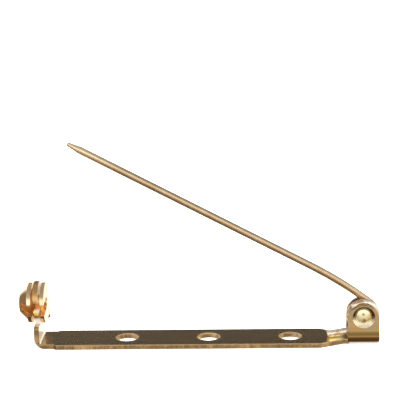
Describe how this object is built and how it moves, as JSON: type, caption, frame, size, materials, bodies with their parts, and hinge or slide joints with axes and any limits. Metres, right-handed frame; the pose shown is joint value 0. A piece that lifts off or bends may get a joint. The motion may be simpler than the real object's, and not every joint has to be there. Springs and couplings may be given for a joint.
{
  "type": "brooch pin finding",
  "caption": "Stamped bar pin back with round sewing holes, a sprung pin on a riveted hinge and a turning safety catch with a thumb lever.",
  "frame": {"origin": "on the flat back face of the bar, at the axis of the middle sewing hole", "axes": "+X along the bar from the catch to the hinge, +Z away from the back face towards the pin, -Y is the side on which the catch opens"},
  "size_m": [0.0382, 0.0066, 0.0225],
  "materials": {
    "plate": "gold plated, satin with fine grain on the faces and a rougher sheared edge",
    "rivet": "gold plated, bright, formed ends",
    "wire": "spring steel wire, gold plated, smooth with drawing marks",
    "catch": "gold plated, bright with an orange tone in the folds"
  },
  "bodies": {
    "base": {"base_plate": "plate", "hinge_rivet": "rivet"},
    "spring": {"spring_tail": "wire"},
    "pin": {"pin_stem": "wire"},
    "catch": {"catch_rotor": "catch"}
  },
  "joints": [
    {"name": "pin_side", "type": "hinge", "parent": "base", "child": "spring", "pos_m": [0.01638, 0, 0.00297], "axis": [0, 0, -1], "range_deg": [0, 4.84]},
    {"name": "pin_swing", "type": "hinge", "parent": "spring", "child": "pin", "pos_m": [0.01638, 0, 0.00297], "axis": [-0.0958, 0.9954, 0], "range_deg": [-30, 60], "stiffness_Nm_per_rad": 0.003},
    {"name": "catch_turn", "type": "hinge", "parent": "base", "child": "catch", "pos_m": [-0.01815, 0, 0.00458], "axis": [1, 0, 0], "range_deg": [0, 239]}
  ]
}
